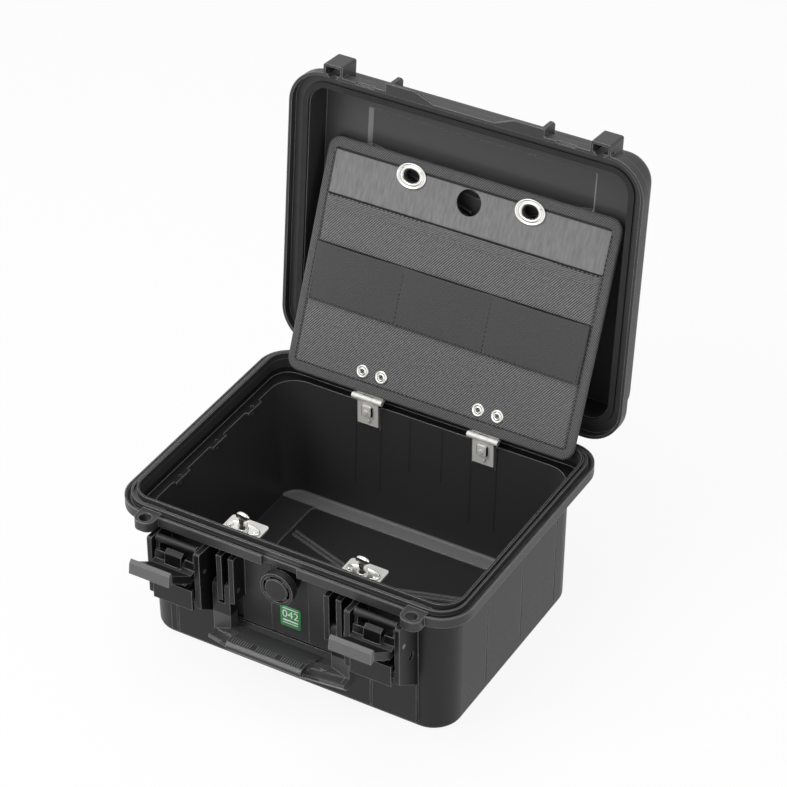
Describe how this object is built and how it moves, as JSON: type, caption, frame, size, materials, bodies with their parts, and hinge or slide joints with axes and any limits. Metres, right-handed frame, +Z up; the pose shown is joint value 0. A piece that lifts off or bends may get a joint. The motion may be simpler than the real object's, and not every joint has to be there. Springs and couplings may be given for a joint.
{
  "type": "protective hard case",
  "caption": "Rectangular sealed hard case with a hinged lid, flip latches, a folding carry handle, a vent valve and a hinged tool panel with cloth pockets.",
  "frame": {"origin": "middle of the flat underside of the base", "axes": "+Z up, -Y towards the latches and handle, +X to the right as seen from the front"},
  "size_m": [0.36, 0.4186, 0.4399],
  "materials": {
    "moulded_shell": "fine matte grain",
    "valve_plastic": "smooth",
    "seal_rubber": "matte",
    "pin_steel": "drawn",
    "plated_steel": "bright nickel",
    "label_film": "printed film",
    "panel_board": "smooth",
    "band_sheet": "fine grain",
    "binding_tape": "woven",
    "pocket_fabric": "twill"
  },
  "bodies": {
    "base": {"base_shell": "moulded_shell", "latch_pins": "pin_steel", "handle_pins": "pin_steel", "hinge_pins": "pin_steel", "valve_body": "valve_plastic", "valve_cap": "valve_plastic", "valve_seal": "seal_rubber", "valve_nut": "valve_plastic", "label": "label_film", "base_leaves": "plated_steel", "panel_pins": "pin_steel", "leaf_screws": "pin_steel", "front_brackets": "plated_steel", "button_bases": "plated_steel", "button_rivets": "plated_steel", "bracket_screws": "pin_steel"},
    "lid": {"lid_shell": "moulded_shell", "lid_seal": "seal_rubber"},
    "panel": {"panel_board": "panel_board", "panel_binding": "binding_tape", "panel_band": "band_sheet", "pocket_cloth": "pocket_fabric", "pocket_strip": "pocket_fabric", "eyelets": "plated_steel", "panel_rivets": "plated_steel", "panel_leaves": "plated_steel"},
    "handle": {"handle": "moulded_shell", "grip_pads": "seal_rubber"},
    "latch_left": {"latch_lever_left": "moulded_shell"},
    "latch_right": {"latch_lever_right": "moulded_shell"},
    "stud_left": {"turn_stud_left": "plated_steel"},
    "stud_right": {"turn_stud_right": "plated_steel"}
  },
  "joints": [
    {"name": "lid_swing", "type": "hinge", "parent": "base", "child": "lid", "pos_m": [0, 0.1475, 0.1416], "axis": [1, 0, 0], "range_deg": [0, 95.73]},
    {"name": "panel_swing", "type": "hinge", "parent": "base", "child": "panel", "pos_m": [0, 0.115, 0.139], "axis": [1, 0, 0], "range_deg": [0, 112.85]},
    {"name": "handle_swing", "type": "hinge", "parent": "base", "child": "handle", "pos_m": [0, -0.135, 0.094], "axis": [-1, 0, 0], "range_deg": [0, 100]},
    {"name": "latch_left_flip", "type": "hinge", "parent": "base", "child": "latch_left", "pos_m": [-0.1015, -0.146, 0.112], "axis": [-1, 0, 0], "range_deg": [0, 60]},
    {"name": "latch_right_flip", "type": "hinge", "parent": "base", "child": "latch_right", "pos_m": [0.1015, -0.146, 0.112], "axis": [-1, 0, 0], "range_deg": [0, 60]},
    {"name": "stud_left_turn", "type": "hinge", "parent": "base", "child": "stud_left", "pos_m": [-0.0613, -0.101, 0.145], "axis": [0, 0, 1], "range_deg": [0, 90]},
    {"name": "stud_right_turn", "type": "hinge", "parent": "base", "child": "stud_right", "pos_m": [0.0613, -0.101, 0.145], "axis": [0, 0, 1], "range_deg": [0, 90]}
  ],
  "couplings": [
    {"joint": "panel_swing", "follows": "lid_swing", "ratio": 1.1783}
  ]
}
